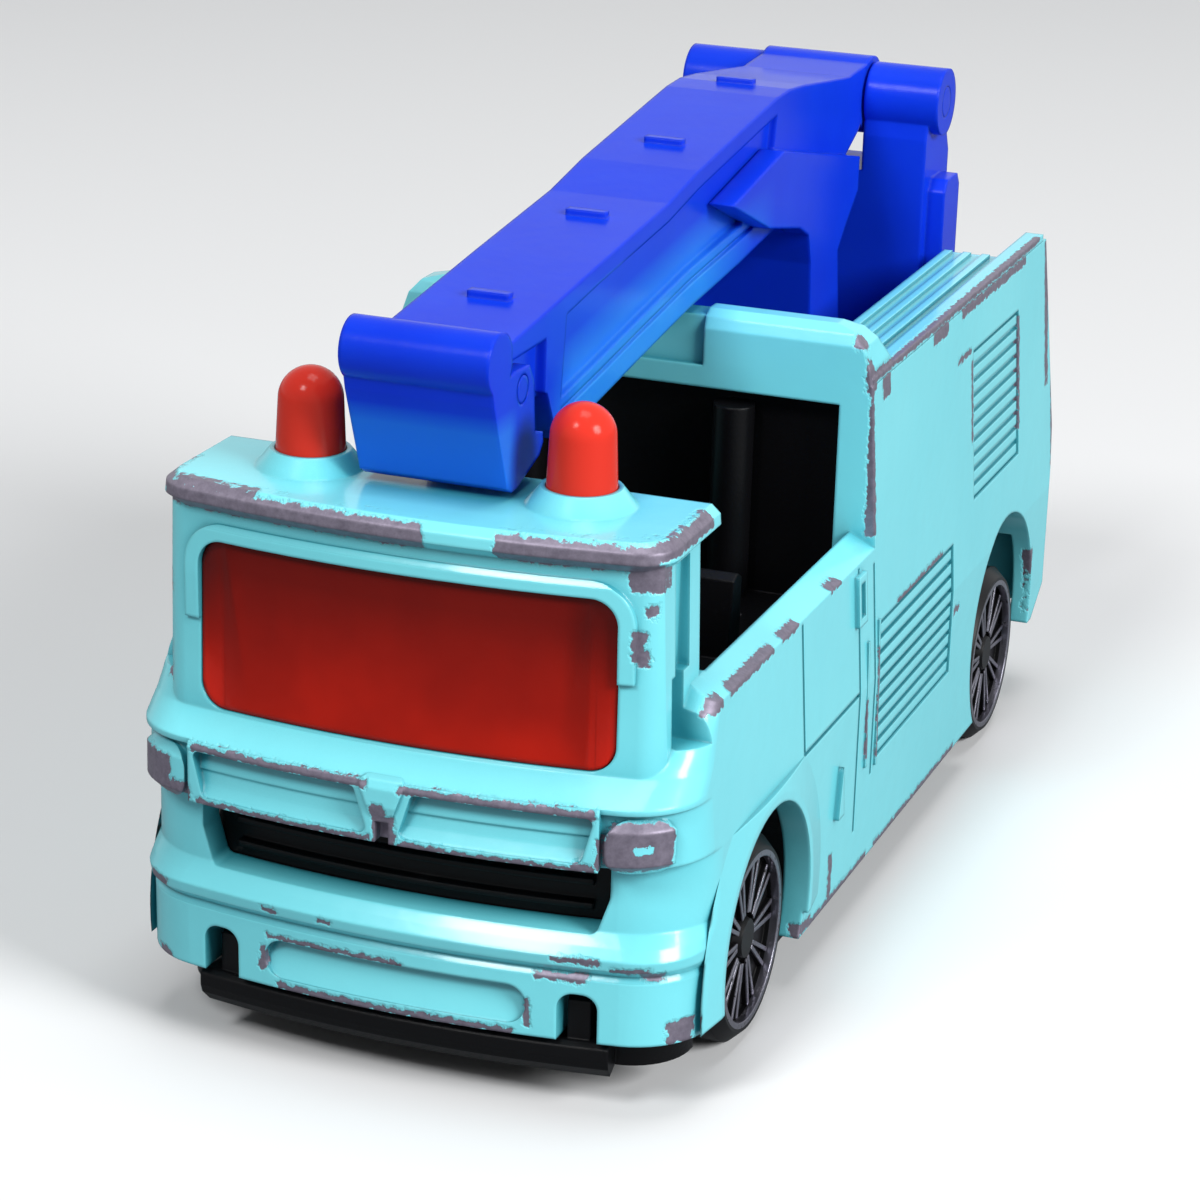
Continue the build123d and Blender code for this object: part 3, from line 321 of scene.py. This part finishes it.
# orange peel about 1.6 mm across, and the step down at a chip's edge
rounded = add_node(tree, "Bevel", {"Radius": ROUNDING}, samples=8)
peel = add_node(tree, "TexNoise", {"Vector": place, "Scale": 0.6, "Detail": 2.0})
waves = add_node(tree, "Bump", {"Height": peel.outputs["Fac"], "Strength": 0.12, "Distance": 0.0002,
                                "Normal": rounded.outputs[0]})
step = add_node(tree, "Bump", {"Height": rim.outputs[0], "Strength": 0.6, "Distance": 0.00012,
                               "Normal": waves.outputs[0]})
surface = add_node(tree, "BsdfPrincipled", {
    "Base Color": colour.outputs["Result"], "Roughness": roughness.outputs[0],
    "Metallic": metallic.outputs[0], "Specular IOR Level": 0.35,
    "Coat Weight": gloss.outputs[0], "Coat Roughness": 0.08, "Normal": step.outputs[0]})
tree.links.new(surface.outputs[0], output.inputs["Surface"])
dress(["body_shell"], enamel)

# ---------------------------------------------------------------- base plate and cab interior
# Two black polypropylene mouldings, satin from the mould, with a little dust. A pale scuff lies on
# the deck behind the seats, where things have been pushed into the cab.
SCUFF = ((7.6, -7.8, 18.6), (0.55, 1.1, 0.4))      # centre and half size in mm
SCUFF_PULL = 2.6                  # mm: how far the scuff's outline is torn about
SCUFF_EDGE = (0.05, 0.25)         # mm from the block: where the scuff fades out
black_plastic, tree, output = new_material("black_polypropylene")
place = place_in_mm(tree)
grain = add_node(tree, "TexNoise", {"Vector": place, "Scale": 5.0, "Detail": 3.0})
dust = add_node(tree, "TexNoise", {
    "Vector": place, "Scale": 0.8, "Detail": 8.0, "Roughness": 0.75})
dusty = add_node(tree, "MapRange", {
    "Value": dust.outputs["Fac"], "From Min": 0.62, "From Max": 0.85, "To Max": 0.22})
colour = add_node(tree, "Mix", {"Factor": dusty.outputs[0], "A": srgb("0A0A0C"),
                                "B": srgb("444448")}, data_type="RGBA")
torn = add_node(tree, "TexNoise", {
    "Vector": place, "Scale": 1.1, "Detail": 5.0, "Roughness": 0.7})
pull = add_node(tree, "VectorMath", {0: torn.outputs["Color"], 1: (0.5, 0.5, 0.5)},
                operation="SUBTRACT")
pull = add_node(tree, "VectorMath", {0: pull.outputs[0], 3: SCUFF_PULL}, operation="SCALE")
torn_place = add_node(tree, "VectorMath", {0: place, 1: pull.outputs[0]}, operation="ADD")
scuff = block_distance(tree, torn_place.outputs[0], *SCUFF)
scuffed = add_node(tree, "MapRange", {
    "Value": scuff, "From Min": SCUFF_EDGE[0], "From Max": SCUFF_EDGE[1],
    "To Min": 0.85, "To Max": 0.0})
colour = add_node(tree, "Mix", {"Factor": scuffed.outputs[0], "A": colour.outputs["Result"],
                                "B": srgb("D2D0D4")}, data_type="RGBA")
rounded = add_node(tree, "Bevel", {"Radius": 0.0002}, samples=6)
relief = add_node(tree, "Bump", {"Height": grain.outputs["Fac"], "Strength": 0.2,
                                 "Distance": 0.00008, "Normal": rounded.outputs[0]})
surface = add_node(tree, "BsdfPrincipled", {
    "Base Color": colour.outputs["Result"], "Roughness": 0.36, "IOR": 1.49,
    "Specular IOR Level": 0.15, "Normal": relief.outputs[0]})
tree.links.new(surface.outputs[0], output.inputs["Surface"])
dress(["base_plate", "cab_interior"], black_plastic)

# ---------------------------------------------------------------- windscreen and beacons
# One clear red polystyrene moulding. The screen's colour is painted shade, dark for the black cab
# behind it, with painted light making it a little brighter low down; the thick beacons above the
# roof glow orange-red.
ROOF = (32.4, 33.8)                # mm up: between the screen below and the beacons above
SCREEN_LIGHT_FADE = (28.0, 20.5)         # mm up: from the screen's painted dark part down to its painted brighter one
red_clear, tree, output = new_material("clear_red_polystyrene")
place = place_in_mm(tree)
parts = add_node(tree, "SeparateXYZ", {0: place})
lit = add_node(tree, "MapRange", {
    "Value": parts.outputs[2], "From Min": ROOF[0], "From Max": ROOF[1]})
flow = add_node(tree, "TexNoise", {"Vector": place, "Scale": 0.25, "Detail": 2.0})
painted_lower_light = add_node(tree, "MapRange", {
    "Value": parts.outputs[2], "From Min": SCREEN_LIGHT_FADE[0], "From Max": SCREEN_LIGHT_FADE[1]})
# painted shade and light: the screen is dark above and brighter low down
screen_painted_shade = add_node(tree, "Mix", {"Factor": painted_lower_light.outputs[0], "A": srgb("74120B"),
                                    "B": srgb("BC1D0E")}, data_type="RGBA")
cloud = add_node(tree, "MapRange", {
    "Value": flow.outputs["Fac"], "From Min": 0.3, "From Max": 0.7, "To Max": 0.3})
screen_painted_shade = add_node(tree, "Mix", {"Factor": cloud.outputs[0], "A": screen_painted_shade.outputs["Result"],
                                    "B": srgb("600A08")}, data_type="RGBA")
colour = add_node(tree, "Mix", {"Factor": lit.outputs[0], "A": screen_painted_shade.outputs["Result"],
                                "B": srgb("DA3426")}, data_type="RGBA")
rounded = add_node(tree, "Bevel", {"Radius": 0.0005}, samples=8)
ripple = add_node(tree, "Bump", {"Height": flow.outputs["Fac"], "Strength": 0.1, "Distance": 0.0002,
                                 "Normal": rounded.outputs[0]})
surface = add_node(tree, "BsdfPrincipled", {
    "Base Color": colour.outputs["Result"], "Roughness": 0.14, "IOR": 1.59,
    "Specular IOR Level": 0.1, "Normal": ripple.outputs[0]})
tree.links.new(surface.outputs[0], output.inputs["Surface"])

BEACON_FOOT = (0.0331, 0.00193)    # height and radius where a beacon leaves its collar
BEACON_DOME = (0.0365, 0.00178)    # height and radius where its round top begins
COLLAR_CUT = 0.0332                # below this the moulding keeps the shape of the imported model
SOFT_ANGLE = 35                    # degrees: sharper edges of a dome stay crisp
MERGE = 1e-6                       # metres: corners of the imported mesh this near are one
tops = [v.co for v in nodes["window_beacons"].data.vertices if v.co.z > COLLAR_CUT and v.co.x > 0]
beacon_x = (min(v.x for v in tops) + max(v.x for v in tops)) / 2
beacon_y = (min(v.y for v in tops) + max(v.y for v in tops)) / 2
domes = []
for side in (-1, 1):
    middle = (side * beacon_x, beacon_y, BEACON_DOME[0])
    bpy.ops.object.select_all(action="DESELECT")
    bpy.ops.mesh.primitive_uv_sphere_add(segments=48, ring_count=24, radius=BEACON_DOME[1],
                                         location=middle)
    dome = bpy.context.object
    bpy.ops.object.mode_set(mode="EDIT")
    bpy.ops.mesh.select_all(action="SELECT")
    bpy.ops.mesh.bisect(plane_co=middle, plane_no=(0, 0, 1), clear_inner=True)
    shape = bmesh.from_edit_mesh(dome.data)
    for edge in shape.edges:
        edge.select = edge.is_boundary
    bpy.ops.mesh.extrude_edges_move(
        TRANSFORM_OT_translate={"value": (0, 0, BEACON_FOOT[0] - BEACON_DOME[0])})
    widen = BEACON_FOOT[1] / BEACON_DOME[1]
    bpy.ops.transform.resize(value=(widen, widen, 1), center_override=(*middle[:2], BEACON_FOOT[0]))
    bpy.ops.mesh.edge_face_add()
    bpy.ops.mesh.select_all(action="SELECT")
    bpy.ops.mesh.normals_make_consistent(inside=False)
    bpy.ops.object.mode_set(mode="OBJECT")
    bpy.ops.object.transform_apply(location=True, rotation=True, scale=True)
    bpy.ops.object.shade_smooth_by_angle(angle=math.radians(SOFT_ANGLE))
    domes.append(dome)
moulding = bpy.data.objects.new("window_moulding", nodes["window_beacons"].data.copy())
bpy.context.scene.collection.objects.link(moulding)
bpy.ops.object.select_all(action="DESELECT")
moulding.select_set(True)
bpy.context.view_layer.objects.active = moulding
bpy.ops.object.mode_set(mode="EDIT")
bpy.ops.mesh.select_all(action="SELECT")
bpy.ops.mesh.remove_doubles(threshold=MERGE)
bpy.ops.mesh.bisect(plane_co=(0, 0, COLLAR_CUT), plane_no=(0, 0, 1), use_fill=True,
                    clear_outer=True)
bpy.ops.mesh.select_all(action="SELECT")
bpy.ops.mesh.faces_shade_flat()
bpy.ops.object.mode_set(mode="OBJECT")
for dome in domes:
    dome.select_set(True)
bpy.ops.object.join()
moulding.data.materials.clear()
moulding.data.materials.append(red_clear)
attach(moulding, "chassis")
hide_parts("window_beacons")

# ---------------------------------------------------------------- turntable, arms and bucket
# Blue polypropylene mouldings, semi-gloss and slightly see-through. The thin walls of the boom
# and the bucket's front panel are painted paler, as painted light coming through them.
BOOM_SLOPE, BOOM_LINE = 0.105, 41.6    # rise, and height in mm half way along: a line that
                                       # runs about 2.7 mm under the boom's top
THIN_WALL = (0.2, 3.4)            # mm under that line: from no painted light to the full painted through-light
BOOM_FRONT = (8.0, -2.0)          # mm along: only the boom's front half is thin
TUB_BACK = (-27.0, -22.0)         # mm along: and only behind the bucket
PANEL_FRONT = (-32.4, -33.6)      # mm along: the bucket's front panel
PANEL_LOW = (37.8, 36.6)          # mm up: and only its lower part
PANEL_SHARE = 0.55                # how much painted through-light that panel gets, beside the boom's thin wall
blue_plastic, tree, output = new_material("blue_polypropylene")
place = place_in_mm(tree)
parts = add_node(tree, "SeparateXYZ", {0: place})
cloudy = add_node(tree, "TexNoise", {"Vector": place, "Scale": 0.15, "Detail": 2.0})
line = add_node(tree, "Math", {0: parts.outputs[1], 1: BOOM_SLOPE, 2: BOOM_LINE},
                operation="MULTIPLY_ADD")
drop = add_node(tree, "Math", {0: line.outputs[0], 1: parts.outputs[2]}, operation="SUBTRACT")
thin = add_node(tree, "MapRange", {
    "Value": drop.outputs[0], "From Min": THIN_WALL[0], "From Max": THIN_WALL[1]})
forward = add_node(tree, "MapRange", {
    "Value": parts.outputs[1], "From Min": BOOM_FRONT[0], "From Max": BOOM_FRONT[1]})
behind_tub = add_node(tree, "MapRange", {
    "Value": parts.outputs[1], "From Min": TUB_BACK[0], "From Max": TUB_BACK[1]})
painted_through_light = add_node(tree, "Math", {0: thin.outputs[0], 1: forward.outputs[0]}, operation="MULTIPLY")
painted_through_light = add_node(tree, "Math", {0: painted_through_light.outputs[0], 1: behind_tub.outputs[0]},
                 operation="MULTIPLY")
front_panel = add_node(tree, "MapRange", {
    "Value": parts.outputs[1], "From Min": PANEL_FRONT[0], "From Max": PANEL_FRONT[1]})
panel_low = add_node(tree, "MapRange", {
    "Value": parts.outputs[2], "From Min": PANEL_LOW[0], "From Max": PANEL_LOW[1]})
tub_painted_light = add_node(tree, "Math", {0: front_panel.outputs[0], 1: panel_low.outputs[0]},
                    operation="MULTIPLY")
tub_painted_light = add_node(tree, "Math", {0: tub_painted_light.outputs[0], 1: PANEL_SHARE},
                    operation="MULTIPLY")
painted_through_light = add_node(tree, "Math", {0: painted_through_light.outputs[0], 1: tub_painted_light.outputs[0]},
                 operation="MAXIMUM")
base = add_node(tree, "Mix", {"Factor": cloudy.outputs["Fac"], "A": srgb("0A30CC"),
                              "B": srgb("1240DC")}, data_type="RGBA")
# painted light: the pale azure stands for light coming through the thin walls
colour = add_node(tree, "Mix", {"Factor": painted_through_light.outputs[0], "A": base.outputs["Result"],
                                "B": srgb("2A84E4")}, data_type="RGBA")
grain = add_node(tree, "TexNoise", {"Vector": place, "Scale": 1.2, "Detail": 4.0})
rounded = add_node(tree, "Bevel", {"Radius": 0.0003}, samples=8)
relief = add_node(tree, "Bump", {"Height": grain.outputs["Fac"], "Strength": 0.1,
                                 "Distance": 0.00015, "Normal": rounded.outputs[0]})
surface = add_node(tree, "BsdfPrincipled", {
    "Base Color": colour.outputs["Result"], "Roughness": 0.22, "IOR": 1.40,
    "Specular IOR Level": 0.14,
    "Subsurface Weight": 0.2, "Subsurface Radius": (0.1, 0.2, 0.9), "Subsurface Scale": 0.001,
    "Normal": relief.outputs[0]})
tree.links.new(surface.outputs[0], output.inputs["Surface"])
dress(["turntable", "lower_arm", "upper_boom", "bucket"], blue_plastic)

# ---------------------------------------------------------------- rivet and axles
# The rivet and the axles are drawn steel wire, with fine lengthwise marks.
steel, tree, output = new_material("drawn_steel")
place = place_in_mm(tree)
streaks = add_node(tree, "TexNoise", {"Vector": place, "Scale": 4.0, "Detail": 5.0})
colour = add_node(tree, "Mix", {"Factor": streaks.outputs["Fac"], "A": srgb("8C8C90"),
                                "B": srgb("C2C2C6")}, data_type="RGBA")
rough = add_node(tree, "MapRange", {
    "Value": streaks.outputs["Fac"], "To Min": 0.22, "To Max": 0.45})
surface = add_node(tree, "BsdfPrincipled", {
    "Base Color": colour.outputs["Result"], "Metallic": 1.0, "Roughness": rough.outputs[0]})
tree.links.new(surface.outputs[0], output.inputs["Surface"])
dress(["turntable_rivet", "front_axle", "rear_axle"], steel)

# ---------------------------------------------------------------- wheels
# Black polystyrene wheels. The inner half of the raised ring and the spokes of the outer face are
# hot-stamped with silver foil, which has rubbed thin in places; the dish and the hub stay black.
DISH_X = 15.30                    # mm from the centre line: what stands further out may be foiled
RING_FOIL = 5.08                  # mm: the foil stops half way across the ring
HUB = 1.25                        # mm: the hub is left black
FOIL_KEPT = (0.34, 0.44)          # noise values from foil rubbed away to foil kept
for name, axle in (("wheel_front_left", "front_axle"), ("wheel_front_right", "front_axle"),
                   ("wheel_rear_left", "rear_axle"), ("wheel_rear_right", "rear_axle")):
    low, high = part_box(axle)
    middle = (low + high) * 0.5 * MM
    foiled, tree, output = new_material("foiled_polystyrene_" + name)
    place = place_in_mm(tree)
    centred = add_node(tree, "VectorMath", {0: place, 1: (0.0, middle.y, middle.z)},
                       operation="SUBTRACT")
    parts = add_node(tree, "SeparateXYZ", {0: centred.outputs[0]})
    across = add_node(tree, "Math", {0: parts.outputs[0]}, operation="ABSOLUTE")
    flat_place = add_node(tree, "CombineXYZ", {1: parts.outputs[1], 2: parts.outputs[2]})
    radius = add_node(tree, "VectorMath", {0: flat_place.outputs[0]}, operation="LENGTH")
    outer = add_node(tree, "Math", {0: across.outputs[0], 1: DISH_X}, operation="GREATER_THAN")
    in_ring = add_node(tree, "Math", {0: radius.outputs["Value"], 1: RING_FOIL},
                       operation="LESS_THAN")
    past_hub = add_node(tree, "Math", {0: radius.outputs["Value"], 1: HUB},
                        operation="GREATER_THAN")
    foil = add_node(tree, "Math", {0: outer.outputs[0], 1: in_ring.outputs[0]},
                    operation="MULTIPLY")
    foil = add_node(tree, "Math", {0: foil.outputs[0], 1: past_hub.outputs[0]},
                    operation="MULTIPLY")
    worn = add_node(tree, "TexNoise", {
        "Vector": place, "Scale": 2.2, "Detail": 5.0, "Roughness": 0.7})
    kept = add_node(tree, "MapRange", {
        "Value": worn.outputs["Fac"], "From Min": FOIL_KEPT[0], "From Max": FOIL_KEPT[1]})
    foil = add_node(tree, "Math", {0: foil.outputs[0], 1: kept.outputs[0]}, operation="MULTIPLY")
    colour = add_node(tree, "Mix", {"Factor": foil.outputs[0], "A": srgb("09090B"),
                                    "B": srgb("9A98A4")}, data_type="RGBA")
    rough = add_node(tree, "MapRange", {"Value": foil.outputs[0], "To Min": 0.4, "To Max": 0.3})
    rounded = add_node(tree, "Bevel", {"Radius": 0.0001}, samples=4)
    surface = add_node(tree, "BsdfPrincipled", {
        "Base Color": colour.outputs["Result"], "Roughness": rough.outputs[0],
        "Specular IOR Level": 0.25, "Metallic": foil.outputs[0], "Normal": rounded.outputs[0]})
    tree.links.new(surface.outputs[0], output.inputs["Surface"])
    dress([name], foiled)
